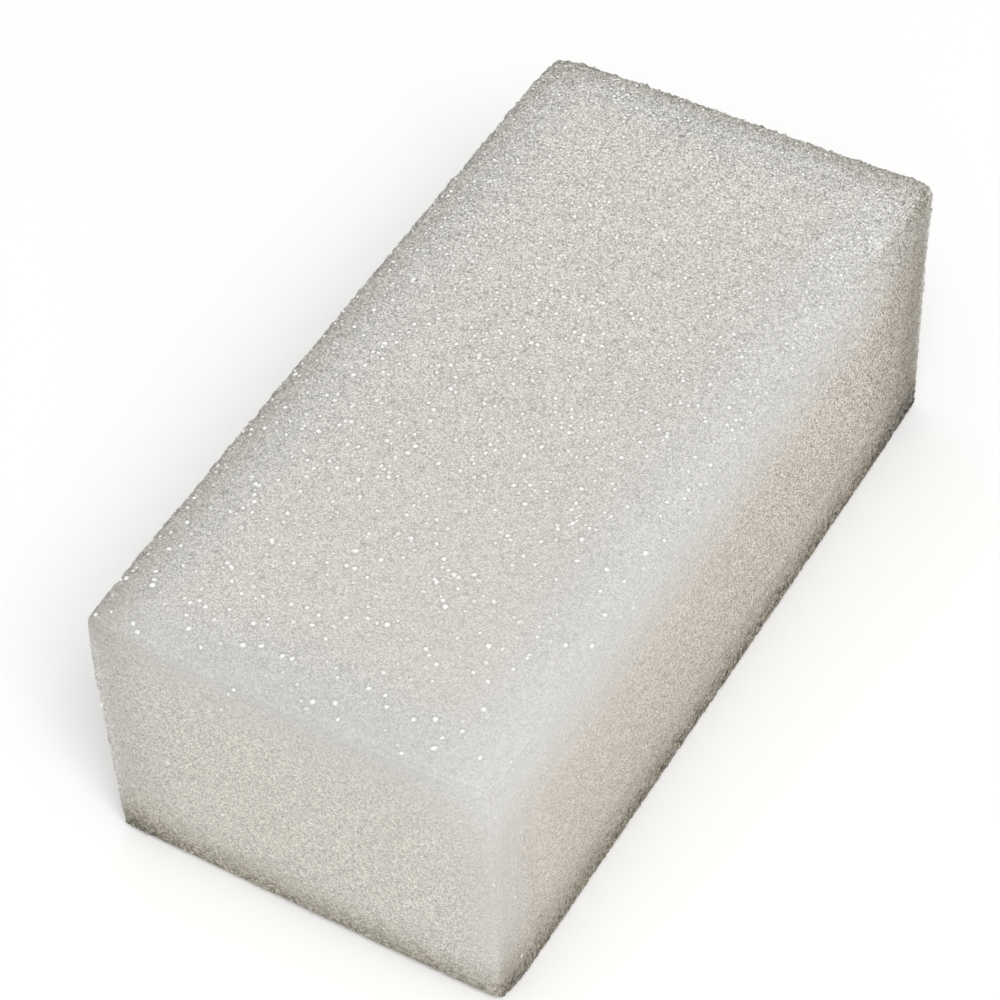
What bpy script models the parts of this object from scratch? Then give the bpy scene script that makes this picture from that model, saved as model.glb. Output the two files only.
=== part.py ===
"""Nail buffer block: a resilient foam core with an abrasive coat on each of its six faces.

Metres, +Z up. The origin is at the centre of the face the block rests on. +Y runs along the length,
+X across the width and +Z through the height. Nothing on the block moves.

Each coat lies on its own face of the core and wraps half of every rounded edge round it, so that the
six coats meet on the diagonals of the edges. They are separated by a thin clearance.
"""

import math

import bmesh
import bpy
from mathutils import Vector

# Outside size of the block.
LENGTH = 0.0700
WIDTH = 0.0347
HEIGHT = 0.0254

# Radius of the softened outer edges and corners, and the segments of each quarter turn.
EDGE_RADIUS = 0.0015
EDGE_SEGMENTS = 8

# Grit coat: resin, abrasive grain and the skin of foam that the resin soaks into.
COAT_THICKNESS = 0.0008

# Clearance between neighbouring solids.
CLEARANCE = 0.0003

# Foam core, inside the coats.
CORE_EDGE_RADIUS = 0.0006
CORE_EDGE_SEGMENTS = 4

FOAM_COLOUR = (0.83, 0.80, 0.74, 1.0)
COARSE_COAT_COLOUR = (0.80, 0.79, 0.76, 1.0)
FINE_COAT_COLOUR = (0.79, 0.76, 0.71, 1.0)

CENTRE = Vector((0.0, 0.0, HEIGHT / 2))
HALF = Vector((WIDTH / 2, LENGTH / 2, HEIGHT / 2))


def clear_scene():
    for obj in list(bpy.data.objects):
        bpy.data.objects.remove(obj, do_unlink=True)


def make_material(name, colour, roughness):
    material = bpy.data.materials.new(name)
    material.use_nodes = True
    shader = material.node_tree.nodes["Principled BSDF"]
    shader.inputs["Base Color"].default_value = colour
    shader.inputs["Roughness"].default_value = roughness
    shader.inputs["Metallic"].default_value = 0.0
    return material


def rounded_box(half, radius, segments):
    """A box about the origin with these half sides, every edge and corner rounded."""
    bm = bmesh.new()
    bmesh.ops.create_cube(bm, size=2.0)
    bmesh.ops.scale(bm, vec=half, verts=bm.verts)
    bmesh.ops.bevel(
        bm,
        geom=bm.edges[:],
        offset=radius,
        offset_type="OFFSET",
        segments=segments,
        profile=0.5,
        affect="EDGES",
    )
    return bm


def keep_side(bm, point, normal):
    """Cuts a convex solid with a plane and keeps the side that the normal points away from, closed with one flat face."""
    bmesh.ops.bisect_plane(
        bm,
        geom=bm.verts[:] + bm.edges[:] + bm.faces[:],
        dist=1e-7,
        plane_co=point,
        plane_no=normal,
        clear_outer=True,
    )
    rim = [edge for edge in bm.edges if edge.is_boundary]
    bmesh.ops.holes_fill(bm, edges=rim, sides=0)


def coat_solid(axis, sign):
    """The coat of one face: a thin slab with mitred rims and the outer halves of its rounded edges. axis is 0, 1 or 2 for X, Y or Z."""
    bm = rounded_box(HALF, EDGE_RADIUS, EDGE_SEGMENTS)
    outward = Vector((0.0, 0.0, 0.0))
    outward[axis] = sign

    # The inner flat, against the core.
    keep_side(bm, outward * (HALF[axis] - COAT_THICKNESS), -outward)

    # Four mitres, each on the diagonal of an edge and set back by half the clearance.
    for side in (a for a in range(3) if a != axis):
        for way in (-1.0, 1.0):
            across = Vector((0.0, 0.0, 0.0))
            across[side] = way
            normal = (across - outward).normalized()
            on_edge = outward * HALF[axis] + across * HALF[side]
            keep_side(bm, on_edge - normal * (CLEARANCE / 2), normal)
    return bm


def add_object(name, bm, material, parent):
    bmesh.ops.recalc_face_normals(bm, faces=bm.faces[:])
    mesh = bpy.data.meshes.new(name)
    bm.to_mesh(mesh)
    bm.free()
    mesh.materials.append(material)
    mesh.shade_smooth()
    mesh.set_sharp_from_angle(angle=math.radians(25))
    obj = bpy.data.objects.new(name, mesh)
    bpy.context.scene.collection.objects.link(obj)
    obj.parent = parent
    obj.location = CENTRE
    return obj


def build():
    clear_scene()

    foam = make_material("foam", FOAM_COLOUR, 0.9)
    coarse = make_material("coarse_grit", COARSE_COAT_COLOUR, 0.7)
    fine = make_material("fine_grit", FINE_COAT_COLOUR, 0.8)

    block = bpy.data.objects.new("block", None)
    bpy.context.scene.collection.objects.link(block)

    core_half = HALF - Vector((1.0, 1.0, 1.0)) * (COAT_THICKNESS + CLEARANCE)
    add_object(
        "foam_core",
        rounded_box(core_half, CORE_EDGE_RADIUS, CORE_EDGE_SEGMENTS),
        foam,
        block,
    )

    # The two broad faces carry the coarser grit, and the long sides and the ends the finer one.
    for name, axis, sign, material in (
        ("top_grit_coat", 2, 1.0, coarse),
        ("bottom_grit_coat", 2, -1.0, coarse),
        ("right_side_grit_coat", 0, 1.0, fine),
        ("left_side_grit_coat", 0, -1.0, fine),
        ("front_end_grit_coat", 1, -1.0, fine),
        ("rear_end_grit_coat", 1, 1.0, fine),
    ):
        add_object(name, coat_solid(axis, sign), material, block)


build()
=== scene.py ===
"""Looks of the nail buffer block: a soft foam core in coats of resin and abrasive grain, on a pale studio floor.

Each coat is a closed panel whose outer surface carries the grain as real relief. Its rims are mitred on the
diagonals of the block's rounded edges, where the next coat begins. Lengths here are in millimetres until a mesh is made.
"""

import bpy
import numpy as np
from mathutils import Matrix, Vector


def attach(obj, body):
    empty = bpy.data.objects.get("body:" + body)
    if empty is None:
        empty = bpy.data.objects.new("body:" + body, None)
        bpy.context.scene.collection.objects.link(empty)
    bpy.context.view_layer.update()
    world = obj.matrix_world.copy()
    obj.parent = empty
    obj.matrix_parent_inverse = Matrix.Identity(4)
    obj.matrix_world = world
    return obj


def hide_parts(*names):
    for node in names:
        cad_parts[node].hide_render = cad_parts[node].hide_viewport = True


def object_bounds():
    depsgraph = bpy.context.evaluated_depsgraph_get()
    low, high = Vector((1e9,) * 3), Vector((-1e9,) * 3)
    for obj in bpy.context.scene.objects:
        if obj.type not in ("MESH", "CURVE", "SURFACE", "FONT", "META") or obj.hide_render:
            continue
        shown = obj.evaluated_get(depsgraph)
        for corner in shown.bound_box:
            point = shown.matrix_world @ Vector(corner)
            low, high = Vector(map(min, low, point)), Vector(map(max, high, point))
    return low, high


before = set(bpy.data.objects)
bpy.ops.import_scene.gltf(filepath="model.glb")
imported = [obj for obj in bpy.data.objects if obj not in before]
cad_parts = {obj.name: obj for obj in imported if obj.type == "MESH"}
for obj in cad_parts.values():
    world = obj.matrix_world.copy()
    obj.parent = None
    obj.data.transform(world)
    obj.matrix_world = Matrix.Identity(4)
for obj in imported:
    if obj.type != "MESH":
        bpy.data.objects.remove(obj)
cad_low, cad_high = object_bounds()

MM = 1000.0
LOW, HIGH = np.array(cad_low) * MM, np.array(cad_high) * MM
CENTRE, HALF = (LOW + HIGH) / 2, (HIGH - LOW) / 2

# ------------------------------------------------------------------ shape constants, in mm
# The relief's spacing along x, y and z. Coats that meet share theirs, so their rims match point for point.
SPACING = np.array([0.08, 0.08, 0.11]) * 1
EDGE_RADIUS = 0.9
# How a face falls away towards its edges: a broad pillow and a tighter roll, as (width, depth).
PILLOW = (9.0, 0.26)
ROLL = (3.0, 0.18)
SWELL = 0.20
# Some edges are softened further, as (reach, depth). Each corner leans in or out by its own amount, as (reach, depth).
SOFT_EDGES = (
    ((1, 0, 1), 2.4, 0.34),
    ((0, -1, 1), 2.0, 0.16),
    ((1, -1, 0), 1.6, 0.12),
    ((-1, 0, 1), 1.5, 0.10),
    ((0, -1, -1), 2.2, 0.25),
)
SOFT_CORNERS = (
    ((-1, 1, 1), 1.6, 0.52),
    ((-1, 1, 1), 10.0, 0.14),
    ((1, 1, 1), 6.0, -0.22),
    ((-1, -1, 1), 3.0, -0.08),
    ((-1, -1, -1), 14.0, 0.38),
    ((1, 1, -1), 7.0, 0.14),
)
# The lower edges stay crisp, because the block's weight presses them to the table.
LOW_EDGE = (4.0, 0.8, 0.03)
# Painted shade where light leaves the foam, so an edge or corner is painted darker, and a negative depth paints a
# lighter rim as a painted highlight: the faces that meet there, the reach, the depth of shade.
SHADED_EDGES = (
    ((0, 1, 1), 2.3, 0.20),
    ((-1, 0, 1), 2.9, 0.16),
    ((1, 0, 1), 1.1, 0.04),
    ((0, -1, 1), 2.6, 0.035),
    ((-1, -1, 0), 4.5, 0.10),
    ((1, 1, 0), 7.6, 0.44),
    ((1, 1, 0), 1.1, -1.65),
    ((1, 1, 1), 7.0, 0.06),
    ((-1, -1, 0), 1.2, -0.28),
    ((-1, 0, 1), 0.5, -0.12),
    ((-1, 1, 0), 3.5, 0.09),
    ((0, -1, -1), 3.6, 0.29),
    ((0, 1, -1), 3.3, 0.31),
    ((-1, 0, -1), 3.6, 0.27),
    ((1, 0, -1), 0.9, -0.25),
    ((1, -1, -1), 10.0, -0.06),
)
# Painted shade: the right side is painted darker all the way down, as (reach, depth).
RIGHT_FADE = (3.9, 0.60)
# Painted light where light enters the foam, so an edge is painted paler: the faces that meet there, then (reach, how
# pale).
PALE_EDGES = (((1, 0, 1), 5.2, 1.0),)
# Handling has rubbed the grain off these edges: the faces that meet there, then the reach.
RUBBED_EDGES = (((1, 0, 1), 6.5), ((0, -1, 1), 3.5), ((1, -1, 0), 2.5))
COAT_THICKNESS, COAT_INNER_RADIUS = 0.8, 0.3
INNER_SPACING = 0.8
COARSE_CELL, FINE_CELL, CRYSTAL_CELL = 0.25, 0.17, 0.43
CORE_INSET, CORE_RADIUS, CORE_SPACING = 1.1, 1.0, 0.45

COUNTS = np.maximum(2, np.round(2 * HALF / SPACING)).astype(int)


# ------------------------------------------------------------------ noise
class Cells:
    """Seeds scattered one to a cell of a cubic lattice that covers the block, each with random numbers of its own."""

    def __init__(self, size, seed, extra=4):
        rng = np.random.default_rng(seed)
        self.size = size
        self.low = CENTRE - HALF - 4 * size
        self.shape = (np.ceil((2 * HALF + 8 * size) / size) + 1).astype(int)
        n = int(self.shape.prod())
        self.jitter = rng.random((n, 3), dtype=np.float32)
        self.own = rng.random((n, extra), dtype=np.float32)

    def __call__(self, p, visit):
        """Calls visit(offset from the seed in cells, its square, the seed's own numbers) for the 27 nearest cells."""
        q = ((p - self.low) / self.size).astype(np.float32)
        base = np.floor(q).astype(np.int64)
        for dx in (-1, 0, 1):
            for dy in (-1, 0, 1):
                for dz in (-1, 0, 1):
                    c = base + (dx, dy, dz)
                    i = (c[:, 0] * self.shape[1] + c[:, 1]) * self.shape[2] + c[:, 2]
                    off = q - c - self.jitter[i]
                    visit(off, (off * off).sum(1), self.own[i])


def value_noise(p, size, seed):
    """Smooth noise from -1 to 1 with features about size across."""
    rng = np.random.default_rng(seed)
    low = CENTRE - HALF - 3 * size
    shape = (np.ceil((2 * HALF + 6 * size) / size) + 2).astype(int)
    table = rng.random(int(shape.prod()), dtype=np.float32) * 2 - 1
    q = (p - low) / size
    base = np.floor(q).astype(np.int64)
    f = (q - base).astype(np.float32)
    f = f * f * f * (f * (f * 6 - 15) + 10)
    total = np.zeros(len(p), np.float32)
    for dx in (0, 1):
        for dy in (0, 1):
            for dz in (0, 1):
                i = ((base[:, 0] + dx) * shape[1] + base[:, 1] + dy) * shape[2] + base[:, 2] + dz
                w = (
                    (f[:, 0] if dx else 1 - f[:, 0])
                    * (f[:, 1] if dy else 1 - f[:, 1])
                    * (f[:, 2] if dz else 1 - f[:, 2])
                )
                total += w * table[i]
    return total


coarse_cells = Cells(COARSE_CELL, 11)
fine_cells = Cells(FINE_CELL, 23)
crystal_cells = Cells(CRYSTAL_CELL, 37)


def grains(cells, p, least, most):
    """The relief of round grains that crowd the surface, from 0 to 1, and a number of each grain's own."""
    height = np.zeros(len(p), np.float32)
    own = np.zeros(len(p), np.float32)

    def visit(off, d2, numbers):
        nonlocal height, own
        radius = least + (most - least) * numbers[:, 0]
        lean = off[:, 0] * (numbers[:, 1] - 0.5) + off[:, 1] * (numbers[:, 2] - 0.5)
        dome = np.sqrt(np.maximum(radius * radius - d2, 0)) + 0.5 * lean
        dome = np.where(d2 < radius * radius, dome, 0)
        higher = dome > height
        height = np.where(higher, dome, height)
        own = np.where(higher, numbers[:, 3], own)

    cells(p, visit)
    return height / most, own


def crystals(p, share, size):
    """Scattered crystals that stand above the grains: their relief, how white they are, and the dark gap round each,
    from 0 to 1. The white is the crystals' own and partly a painted glint; the dark gap is a painted shadow.

    share is how many of the seeds carry one, and size how big they are.
    """
    height, white, gap = (np.zeros(len(p), np.float32) for _ in range(3))

    def visit(off, d2, numbers):
        nonlocal height, white, gap
        radius = 0.24 + 0.22 * numbers[:, 0]
        # A crystal is blunt and a little longer one way than the other.
        along = off[:, 0] * (numbers[:, 1] - 0.5) + off[:, 1] * (numbers[:, 2] - 0.5)
        d = np.sqrt(d2 + 4.0 * along * along) / (radius * size)
        here = numbers[:, 3] < share
        bright = 0.44 + 0.56 * numbers[:, 2]
        height = np.maximum(height, np.where(here, np.clip(1.6 * (1 - d), 0, 1) * (0.5 + 0.5 * bright), 0))
        white = np.maximum(white, np.where(here, np.clip(2.4 * (1 - d), 0, 1) * bright, 0))
        gap = np.maximum(gap, np.where(here, np.clip(1 - np.abs(d - 1.3) / 0.45, 0, 1) * bright, 0))

    crystal_cells(p, visit)
    return height, white, gap * (1 - np.clip(2 * white, 0, 1))


# ------------------------------------------------------------------ the block's surface
def rounded(p, half, radius):
    """The rounded block's surface under points on the sharp block, with its outward direction."""
    inner = np.clip(p, CENTRE - half + radius, CENTRE + half - radius)
    out = p - inner
    out /= np.linalg.norm(out, axis=1, keepdims=True)
    return inner + radius * out, out


def to_edge(x, faces):
    """How far points measured from the block's centre are from the edge where these faces meet."""
    return np.sqrt(sum((HALF[k] - sign * x[:, k]) ** 2 for k, sign in enumerate(faces) if sign))


def softened(x, out):
    """How far the soft block's skin lies outside the plain rounded block's, at points measured from its centre."""
    depth = np.sort(HALF - np.abs(x), axis=1)[:, 1]
    reach, share, corner = LOW_EDGE
    kept = 1 - share * np.exp(-(((x[:, 2] + HALF[2]) / reach) ** 2))
    fall = np.full(len(x), SWELL) * kept
    for width, drop in (PILLOW, ROLL):
        fall -= kept * drop * np.clip(1 - depth / width, 0, 1) ** 2
    fall += corner * 2 * np.maximum(-out[:, 2], 0) * np.sqrt(np.maximum(1 - out[:, 2] ** 2, 0))
    # These stay crisp towards the rear.
    front = 1 - 0.9 * np.exp(-(((HALF[1] - x[:, 1]) / 7) ** 2))
    for faces, reach, drop in SOFT_EDGES:
        fall -= front * drop * np.exp(-((to_edge(x, faces) / reach) ** 2))
    # The face that the block rests on stays flat.
    free = 1 - np.maximum(-out[:, 2], 0) ** 2
    for corner, reach, drop in SOFT_CORNERS:
        away = np.linalg.norm(x - HALF * corner, axis=1)
        fall -= free * drop * np.exp(-((away / reach) ** 2))
    return fall


def light_and_shade(x, out):
    """How much of its colour the skin keeps near the edges as painted shade and painted highlight, how pale it is
    painted there as painted light, and how rubbed it is, at points from the centre.
    """
    upright = 1 - out[:, 2] ** 2
    shade = np.ones(len(x))
    # An upright edge's shade fades out below the top, where light comes in from above.
    upright = upright * (1 - 0.22 * np.exp(-(((HALF[2] - x[:, 2]) / 5) ** 2)))
    for faces, reach, depth in SHADED_EDGES:
        weight = upright if faces[2] == 0 else 1
        shade *= 1 - depth * weight * np.exp(-((to_edge(x, faces) / reach) ** 1.8))
    # Painted shade down the right side.
    reach, depth = RIGHT_FADE
    shade *= 1 - depth * np.maximum(out[:, 0], 0) ** 2 * np.exp(-(x[:, 2] + HALF[2]) / reach)
    pale, rubbed = np.zeros(len(x)), np.zeros(len(x))
    # Painted light along the lit edge.
    for faces, reach, amount in PALE_EDGES:
        pale = np.maximum(pale, amount * np.exp(-((to_edge(x, faces) / reach) ** 2)))
    for faces, reach in RUBBED_EDGES:
        rubbed = np.maximum(rubbed, np.exp(-((to_edge(x, faces) / reach) ** 2)))
    rubbed *= 1 - np.exp(-(((HALF[1] - x[:, 1]) / 12) ** 2))
    return shade, pale, rubbed


def surface(p):
    """Where points on the sharp block come to lie, with what the material reads there."""
    base, out = rounded(p, HALF, EDGE_RADIUS)
    x = base - CENTRE
    broad = out[:, 2] ** 2
    depth = np.sort(HALF - np.abs(x), axis=1)[:, 1]
    shade, pale, rubbed = light_and_shade(x, out)
    foot = np.exp(-(((x[:, 2] + HALF[2]) / 3.6) ** 2))

    # The grain is crispest at the rear. Use has rubbed the front, most of all the near right of the top.
    rear = np.clip((x[:, 1] + HALF[1]) / (2 * HALF[1]), 0, 1)
    near = np.exp(-(np.linalg.norm((x - HALF * (1, -1, 1)) / (20, 30, 12), axis=1) ** 2))
    crisp = (0.64 + 0.58 * rear**1.2) * (1 - 0.40 * near) * (1 - 0.45 * rubbed)
    # The two faces turned away from the use are smoother again.
    away = np.maximum(-out[:, 0], 0) ** 2 + np.maximum(out[:, 1], 0) ** 2
    crisp *= (1 + np.maximum(0.5 * foot, 0.28 * rear**2) * (1 - broad)) * (1 - 0.45 * away)

    coarse, coarse_own = grains(coarse_cells, base, 0.45, 0.80)
    fine, fine_own = grains(fine_cells, base, 0.45, 0.80)
    upper = np.maximum(broad, 0.4 * rear**1.5 * np.exp(-((to_edge(x, (1, 0, 1)) / 3.5) ** 2)))
    # Grit also stands bare along two of the upright edges, and its white paints those rims lighter, partly as painted
    # light.
    bare = np.maximum(
        np.exp(-((to_edge(x, (1, 1, 0)) / 0.9) ** 2)), 0.5 * np.exp(-((to_edge(x, (-1, -1, 0)) / 0.9) ** 2))
    )
    share = upper * (0.14 + 0.84 * rear**2.1) * (1 - 0.62 * near) * (1 - 0.6 * rubbed * (1 - rear))
    height, white, gap = crystals(base, 0.004 + 0.02 * rear + share + 0.6 * bare * (1 - foot), 1.42 - 0.61 * rear - 0.35 * (1 - broad) * (1 - rear))
    wave = value_noise(base, 2.6, 5) * 0.5 + value_noise(base, 1.1, 6) * 0.5

    # Grains stand out most along the edges, where the face turns away beneath them.
    proud = np.exp(-((depth / 1.0) ** 2)) * (1 - rubbed)
    proud *= 1 - np.exp(-((to_edge(x, (1, 0, 1)) / 1.5) ** 2)) * (1 - np.exp(-(((HALF[1] - x[:, 1]) / 3) ** 2)))
    rough = np.maximum(proud, 0.6 * foot * (1 - broad))
    relief = crisp * (0.007 * coarse + 0.012 * fine) + 0.14 * rough * (coarse - 0.5)
    relief += 0.16 * proud * (1 - foot) * value_noise(base, 0.42, 15)
    relief += (0.09 + 0.05 * broad + 0.06 * proud) * height - 0.03 + 0.02 * wave + softened(x, out)
    # Low on the sides the foam's pores show as pits in the relief, and they are painted darker as painted shade.
    pit = np.clip(2.6 * value_noise(base, 0.36, 21) - 0.3, 0, 1) * foot**1.5
    pit *= (1 - broad) * (0.35 + 0.65 * np.maximum(out[:, 0], 0))
    relief -= 0.10 * pit
    points = base + out * relief[:, None]
    # The block rests on its highest grains.
    down = np.clip(-out[:, 2], 0, 1) ** 4
    points[:, 2] = np.maximum(points[:, 2] + 0.10 * down, LOW[2])

    # Painted shade in the pits.
    shade = shade * (1 - 0.5 * pit)
    # Painted shade: the hollows between grains are painted darker wherever an edge is painted in shade.
    hollow = np.clip(1 - coarse, 0, 1)
    shade = shade * (1 - np.clip(1 - shade, 0, 1) * hollow * (1 + 0.9 * rough))
    # Crisp grain shades itself, and rubbed grain doesn't, so the rubbed skin is given a duller white as painted shade.
    shade = shade * (0.892 + 0.11 * np.clip(crisp - 0.85, 0, 0.4))
    # Painted light: the skin round the top's near right corner is painted a little brighter.
    shade = shade * (1 + 0.035 * np.exp(-(np.linalg.norm(x - HALF * (1, -1, 1), axis=1) / 12) ** 2))
    grain = 0.2 * coarse + 0.8 * fine
    # Where two coats meet, both take their direction from the rounded edge, so no line shows between them.
    seam = np.exp(-((np.sort(HALF - np.abs(p - CENTRE), axis=1)[:, 1] / 0.3) ** 2))
    # edge, pale, shade and gap carry the painted shade and painted light to the material, and crystal the crystals'
    # white, which is partly a painted glint.
    return points, {
        "turn": (out * seam[:, None]).astype(np.float32),
        "seam": seam.astype(np.float32),
        "grain": ((grain - 0.62) * crisp).astype(np.float32),
        "tone": np.where(broad > 0.5, coarse_own, fine_own).astype(np.float32),
        "crystal": white.astype(np.float32),
        "gap": (gap * crisp * (0.4 + 0.6 * broad) * (1 + 0.8 * proud)).astype(np.float32),
        "edge": (np.exp(-((depth / (3.6 + 2.4 * broad)) ** 2)) * (1 - foot**0.5)).astype(np.float32),
        "high": np.exp(-(((HALF[2] - x[:, 2]) / 3) ** 2)).astype(np.float32),
        "pale": pale.astype(np.float32),
        "shade": shade.astype(np.float32),
        "crisp": crisp.astype(np.float32),
    }


# ------------------------------------------------------------------ meshes
def face_grid(counts, half, axis, sign):
    """A grid of points on one face of a sharp box, and its quads, which face outwards."""
    a, b = [k for k in range(3) if k != axis]
    na, nb = counts[a], counts[b]
    p = np.zeros(((na + 1) * (nb + 1), 3))
    p[:, a] = np.repeat(np.linspace(-1, 1, na + 1), nb + 1)
    p[:, b] = np.tile(np.linspace(-1, 1, nb + 1), na + 1)
    p[:, axis] = sign
    index = np.arange(len(p)).reshape(na + 1, nb + 1)
    quads = np.stack(
        [index[:-1, :-1], index[1:, :-1], index[1:, 1:], index[:-1, 1:]], -1
    ).reshape(-1, 4)
    if turned(axis, sign):
        quads = quads[:, ::-1]
    return CENTRE + p * half, quads, index


def turned(axis, sign):
    a, b = [k for k in range(3) if k != axis]
    right_handed = (a, b, axis) in ((0, 1, 2), (1, 2, 0), (2, 0, 1))
    return right_handed != (sign > 0)


def loop(grid):
    return np.concatenate([grid[:-1, 0], grid[-1, :-1], grid[:0:-1, -1], grid[0, :0:-1]])


def shares(n_first, n_second):
    """How far round the loop each of its points is, where each side of the loop counts as 1."""
    steps = [np.arange(n) / n for n in (n_first, n_second, n_first, n_second)]
    return np.concatenate([side + step for side, step in enumerate(steps)])


def panel(axis, sign):
    """One coat as (points, faces, attributes): a relief grid outside, mitred rims, and a flat inside."""
    a, b = [k for k in range(3) if k != axis]
    p, quads, index = face_grid(COUNTS, HALF, axis, sign)
    points, facts = surface(p)

    inner_counts = np.maximum(2, np.round(2 * HALF / INNER_SPACING)).astype(int)
    half = HALF - COAT_THICKNESS
    q, inner_quads, inner_index = face_grid(inner_counts, half, axis, sign)
    base, out = rounded(q, half, COAT_INNER_RADIUS)
    q = base + out * softened((base - CENTRE) * HALF / half, out)[:, None]
    inner_quads = inner_quads[:, ::-1] + len(points)
    inner_index = inner_index + len(points)

    outer_loop, inner_loop = loop(index), loop(inner_index)
    outer_at = shares(COUNTS[a], COUNTS[b])
    inner_at = shares(inner_counts[a], inner_counts[b])
    triangles = []
    i = j = 0
    n_out, n_in = len(outer_loop), len(inner_loop)
    while i < n_out or j < n_in:
        next_out = outer_at[i + 1] if i + 1 < n_out else 4.0
        next_in = inner_at[j + 1] if j + 1 < n_in else 4.0
        o, n = outer_loop[i % n_out], inner_loop[j % n_in]
        if j >= n_in or (i < n_out and next_out <= next_in):
            i += 1
            triangles.append((o, n, outer_loop[i % n_out]))
        else:
            j += 1
            triangles.append((o, n, inner_loop[j % n_in]))
    triangles = np.array(triangles, np.int64)
    if turned(axis, sign):
        triangles = triangles[:, ::-1]
    facts = {k: np.concatenate([v, np.zeros((len(q), *v.shape[1:]), np.float32)]) for k, v in facts.items()}
    return np.concatenate([points, q]), [quads, inner_quads, triangles], facts


def core():
    """The foam inside, as one closed skin with the foam's open pores as relief."""
    half = HALF - CORE_INSET
    counts = np.maximum(2, np.round(2 * half / CORE_SPACING)).astype(int)
    points, quads = [], []
    for axis in range(3):
        for sign in (-1, 1):
            p, q, _ = face_grid(counts, half, axis, sign)
            quads.append(q + sum(len(x) for x in points))
            points.append(p)
    points, quads = np.concatenate(points), np.concatenate(quads)
    _, first, index = np.unique(
        np.round(points, 4), axis=0, return_index=True, return_inverse=True
    )
    base, out = rounded(points[first], half, CORE_RADIUS)
    cells = Cells(1.15, 51)
    pore, own = grains(cells, base, 0.45, 0.75)
    wave = value_noise(base, 3.0, 9)
    relief = softened((base - CENTRE) * HALF / half, out) - 0.16 * pore * (0.4 + 0.6 * own)
    points = base + out * (relief - 0.03 + 0.03 * wave)[:, None]
    return points, [index.reshape(-1)[quads]], {"pore": (pore * own).astype(np.float32)}


def make_mesh(name, points, face_groups, facts):
    mesh = bpy.data.meshes.new(name)
    sizes = np.concatenate([np.full(len(f), f.shape[1], np.int32) for f in face_groups])
    corners = np.concatenate([f.reshape(-1) for f in face_groups]).astype(np.int32)
    mesh.vertices.add(len(points))
    mesh.vertices.foreach_set("co", (points / MM).astype(np.float32).ravel())
    mesh.loops.add(len(corners))
    mesh.loops.foreach_set("vertex_index", corners)
    mesh.polygons.add(len(sizes))
    starts = np.concatenate([[0], np.cumsum(sizes)[:-1]]).astype(np.int32)
    mesh.polygons.foreach_set("loop_start", starts)
    mesh.update(calc_edges=True)
    mesh.validate()
    for key, values in facts.items():
        if values.ndim == 2:
            layer = mesh.attributes.new(key, "FLOAT_VECTOR", "POINT")
            layer.data.foreach_set("vector", values.ravel())
        else:
            layer = mesh.attributes.new(key, "FLOAT", "POINT")
            layer.data.foreach_set("value", values)
    # A coat's rim is flat-shaded, or its direction would bleed into the outer surface as a dark line.
    smooth = np.concatenate([np.full(len(f), f.shape[1] == 4) for f in face_groups])
    mesh.polygons.foreach_set("use_smooth", smooth)
    obj = bpy.data.objects.new(name, mesh)
    bpy.context.scene.collection.objects.link(obj)
    return obj


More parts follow.
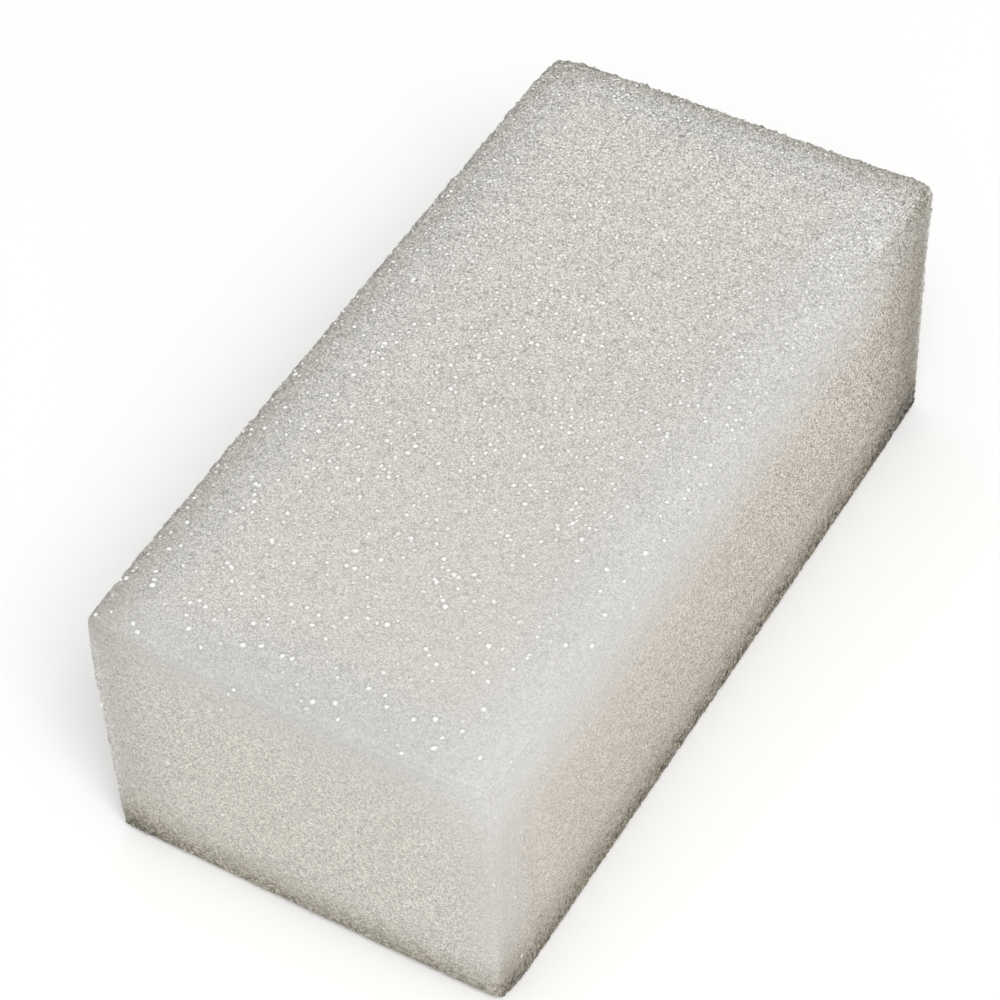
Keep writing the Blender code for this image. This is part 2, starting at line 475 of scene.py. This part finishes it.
# ------------------------------------------------------------------ materials
class Tree:
    """A short way to write a material's nodes."""

    def __init__(self, name):
        self.mat = bpy.data.materials.new(name)
        self.mat.use_nodes = True
        self.nodes = self.mat.node_tree.nodes
        self.p = self.nodes["Principled BSDF"]
        self.place = self.add("ShaderNodeTexCoord").outputs["Object"]

    def put(self, value, socket):
        if isinstance(value, bpy.types.NodeSocket):
            self.mat.node_tree.links.new(value, socket)
        else:
            socket.default_value = value

    def add(self, kind, inputs=(), **settings):
        made = self.nodes.new(kind)
        for key, value in settings.items():
            setattr(made, key, value)
        for key, value in dict(inputs).items():
            self.put(value, made.inputs[key])
        return made

    def fact(self, name):
        return self.add("ShaderNodeAttribute", attribute_name=name).outputs["Fac"]

    def maths(self, operation, *values):
        made = self.add("ShaderNodeMath", operation=operation)
        for i, value in enumerate(values):
            self.put(value, made.inputs[i])
        return made.outputs[0]

    def span(self, value, low, high, to_low=0.0, to_high=1.0, kind="LINEAR"):
        inputs = {"Value": value, "From Min": low, "From Max": high, "To Min": to_low, "To Max": to_high}
        return self.add("ShaderNodeMapRange", inputs, interpolation_type=kind).outputs["Result"]

    def mix(self, share, a, b):
        a, b = ((*c, 1) if isinstance(c, tuple) else c for c in (a, b))
        inputs = {"Factor": share, "A": a, "B": b}
        made = self.nodes.new("ShaderNodeMix")
        made.data_type = "RGBA"
        for key, value in inputs.items():
            self.put(value, next(s for s in made.inputs if s.name == key and s.enabled))
        return next(s for s in made.outputs if s.enabled)

    def scaled(self, colour, by):
        made = self.add("ShaderNodeVectorMath", operation="SCALE")
        self.put(colour, made.inputs[0])
        self.put(by, made.inputs["Scale"])
        return made.outputs[0]

    def multiplied(self, colour, by):
        made = self.add("ShaderNodeVectorMath", operation="MULTIPLY")
        self.put(colour, made.inputs[0])
        made.inputs[1].default_value = by
        return made.outputs[0]

    def leaned(self, steps):
        """The surface's direction, tipped a little one way in each cell of each pattern: (pattern, amount)."""
        total = self.scaled(
            self.add("ShaderNodeNewGeometry").outputs["Normal"], self.maths("SUBTRACT", 1.0, self.fact("seam"))
        )
        turned_on = self.add("ShaderNodeVectorMath", operation="ADD")
        self.put(total, turned_on.inputs[0])
        self.put(self.add("ShaderNodeAttribute", attribute_name="turn").outputs["Vector"], turned_on.inputs[1])
        total = turned_on.outputs[0]
        for pattern, amount in steps:
            lean = self.add("ShaderNodeVectorMath", operation="SUBTRACT")
            self.put(pattern, lean.inputs[0])
            lean.inputs[1].default_value = (0.5, 0.5, 0.5)
            added = self.add("ShaderNodeVectorMath", operation="ADD")
            self.put(total, added.inputs[0])
            self.put(self.scaled(lean.outputs[0], amount), added.inputs[1])
            total = added.outputs[0]
        unit = self.add("ShaderNodeVectorMath", operation="NORMALIZE")
        self.put(total, unit.inputs[0])
        return unit.outputs[0]

    def cells(self, size, feature="F1"):
        return self.add(
            "ShaderNodeTexVoronoi",
            {"Vector": self.place, "Scale": 1 / size},
            feature=feature,
            voronoi_dimensions="3D",
        )


# Every coat has the same colours and the same speckle along its edges, so no line shows where two meet.
# LOW_RIM and HIGH_RIM are the painted shade along the edges, greyer and darker than a face's middle, and PALE is the
# painted light along the lit edge.
LOW_RIM, HIGH_RIM, PALE = (0.545, 0.528, 0.495), (0.549, 0.540, 0.516), (0.607, 0.595, 0.566)
EDGE_ROUGH, EDGE_TOOTH = 0.58, 0.60


def coat_material(name, middle, rough, tooth):
    """Resin and grain: warm in the middle of a face, with painted shade in grey and painted light in pale along its
    edges, and glossy white crystals whose white is partly a painted glint.
    """
    t = Tree(name)
    t.p.inputs["IOR"].default_value = 1.6
    patch = t.add("ShaderNodeTexNoise", {"Vector": t.place, "Scale": 70.0, "Detail": 3.0}).outputs["Fac"]
    edge = t.fact("edge")
    rim = t.mix(t.fact("high"), LOW_RIM, HIGH_RIM)
    # Painted shade: the edges take the rim colour.
    body = t.mix(t.maths("ADD", edge, t.span(patch, 0.3, 0.7, -0.12, 0.12)), middle, rim)
    # Painted light: the lit edge takes the pale colour.
    body = t.mix(t.fact("pale"), body, PALE)
    # The deeper the painted shade at an edge, the browner it is painted.
    painted_shade_tint = t.span(t.fact("shade"), 0.85, 0.35)
    body = t.mix(painted_shade_tint, body, t.multiplied(body, (1.06, 1.0, 0.86)))

    # The hollows between grains are painted a little darker and a ring round each crystal darker still, both painted
    # shade, and every grain and speck has its own white.
    crisp = t.fact("crisp")
    fine = t.cells(0.000085)
    speck = t.add("ShaderNodeSeparateColor", {"Color": fine.outputs["Color"]}).outputs["Red"]
    shade = t.maths("MULTIPLY_ADD", t.fact("grain"), 0.05, 1.0)
    shade = t.maths("MULTIPLY", shade, t.span(t.fact("tone"), 0, 1, 0.98, 1.03))
    bite = t.maths("MULTIPLY", crisp, t.span(edge, 0, 1, tooth, EDGE_TOOTH))
    speck = t.maths("MULTIPLY", bite, t.span(speck, 0, 1, -1, 1))
    shade = t.maths("MULTIPLY", shade, t.maths("ADD", speck, 1.0))
    shade = t.maths("MULTIPLY", shade, t.maths("MULTIPLY_ADD", t.fact("gap"), -0.34, 1.0))
    # Painted shade and painted highlight along the edges, in the pits and in the hollows.
    body = t.scaled(body, t.maths("MULTIPLY", shade, t.fact("shade")))
    # A crystal's white is its own colour and also a painted glint.
    crystal = t.fact("crystal")
    t.put(t.mix(crystal, body, (0.95, 0.95, 0.94)), t.p.inputs["Base Color"])

    plain = t.maths("ADD", t.span(t.fact("tone"), 0, 1, -0.1, 0.1), t.span(edge, 0, 1, rough, EDGE_ROUGH))
    t.put(t.maths("MULTIPLY_ADD", crystal, 0.16 - rough, plain), t.p.inputs["Roughness"])
    facet = t.cells(0.00019)
    steps = ((fine, 0.32), (facet, 0.03))
    t.put(t.leaned([(cells.outputs["Color"], t.maths("MULTIPLY", crisp, by)) for cells, by in steps]), t.p.inputs["Normal"])
    return t.mat


def foam_material():
    t = Tree("foam")
    t.p.inputs["Roughness"].default_value = 0.85
    t.p.inputs["Specular IOR Level"].default_value = 0.25
    t.p.inputs["Subsurface Weight"].default_value = 0.4
    t.p.inputs["Subsurface Radius"].default_value = (1.0, 0.85, 0.7)
    t.p.inputs["Subsurface Scale"].default_value = 0.001
    walls = t.cells(0.0004, "DISTANCE_TO_EDGE").outputs["Distance"]
    wall = t.span(walls, 0.0, 0.12)
    body = t.mix(wall, (0.74, 0.70, 0.63), (0.62, 0.575, 0.505))
    # Painted shade: the foam is painted darker in its pores.
    t.put(t.scaled(body, t.span(t.fact("pore"), 0, 0.8, 1.03, 0.82)), t.p.inputs["Base Color"])
    bump = t.add("ShaderNodeBump", {"Strength": 0.5, "Distance": 0.0001, "Height": wall})
    t.put(bump.outputs["Normal"], t.p.inputs["Normal"])
    return t.mat


top_material = coat_material("coarse_grit", (0.593, 0.573, 0.532), 0.50, 0.47)
side_material = coat_material("fine_grit", (0.573, 0.527, 0.465), 0.65, 0.82)
end_material = coat_material("fine_grit_end", (0.574, 0.551, 0.496), 0.65, 0.80)

PANELS = (
    ("top_grit_coat", 2, 1, "coarse_grit", top_material),
    ("bottom_grit_coat", 2, -1, "coarse_grit", top_material),
    ("right_side_grit_coat", 0, 1, "fine_grit", side_material),
    ("left_side_grit_coat", 0, -1, "fine_grit", side_material),
    ("front_end_grit_coat", 1, -1, "fine_grit", end_material),
    ("rear_end_grit_coat", 1, 1, "fine_grit", end_material),
)
for cad_name, axis, sign, slot, material in PANELS:
    piece = make_mesh(cad_name.replace("_coat", "_surface"), *panel(axis, sign))
    piece.data.materials.append(material)
    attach(piece, "root")
    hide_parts(cad_name)

foam = make_mesh("foam_block", *core())
foam.data.materials.append(foam_material())
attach(foam, "root")
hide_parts("foam_core")

# ------------------------------------------------------------------ floor, light and camera
s = 3.0
floor_mesh = bpy.data.meshes.new("floor")
floor_mesh.from_pydata([(-s, -s, 0), (s, -s, 0), (s, s, 0), (-s, s, 0)], [], [(0, 1, 2, 3)])
floor = bpy.data.objects.new("floor", floor_mesh)
bpy.context.scene.collection.objects.link(floor)
floor_mat = bpy.data.materials.new("floor")
floor_mat.use_nodes = True
fp = floor_mat.node_tree.nodes["Principled BSDF"]
fp.inputs["Base Color"].default_value = (0.88, 0.88, 0.88, 1)
fp.inputs["Roughness"].default_value = 0.9
fp.inputs["Specular IOR Level"].default_value = 0.2
floor_mesh.materials.append(floor_mat)

world = bpy.data.worlds.new("studio")
world.use_nodes = True
world.node_tree.nodes["Background"].inputs["Color"].default_value = (1, 1, 1, 1)
world.node_tree.nodes["Background"].inputs["Strength"].default_value = 0.72
bpy.context.scene.world = world


def area_light(name, place, aim, size, power, colour=(1, 1, 1)):
    data = bpy.data.lights.new(name, "AREA")
    data.shape = "RECTANGLE"
    data.size, data.size_y = size
    data.energy = power
    data.color = colour
    obj = bpy.data.objects.new(name, data)
    obj.location = place
    obj.rotation_mode = "QUATERNION"
    obj.rotation_quaternion = (Vector(aim) - Vector(place)).to_track_quat("-Z", "Y")
    bpy.context.scene.collection.objects.link(obj)
    return obj


middle = Vector(CENTRE / MM)
KEY_FROM = Vector((0.40, -0.42, 0.81)).normalized()
area_light("key", middle + 0.9 * KEY_FROM, middle, (0.45, 0.45), 5.2, (1.0, 0.995, 0.98))

cam_data = bpy.data.cameras.new("camera")
cam_data.sensor_width = 36.0
cam_data.lens = 137.5071
cam_data.clip_start, cam_data.clip_end = 0.01, 20.0
camera = bpy.data.objects.new("camera", cam_data)
right = Vector((0.8655634677792257, 0.4998966280033375, -0.03005402734898749))
down = Vector((0.3556286767137037, -0.655801277256508, -0.6659226149092646))
forward = Vector((-0.3526019392244767, 0.5657102138574351, -0.745415204025591))
place = Vector((0.10302723, -0.16991564, 0.23519228))
camera.matrix_world = Matrix(
    (
        (right.x, -down.x, -forward.x, place.x),
        (right.y, -down.y, -forward.y, place.y),
        (right.z, -down.z, -forward.z, place.z),
        (0, 0, 0, 1),
    )
)
bpy.context.scene.collection.objects.link(camera)
bpy.context.scene.camera = camera
bpy.context.scene.view_settings.view_transform = "Standard"
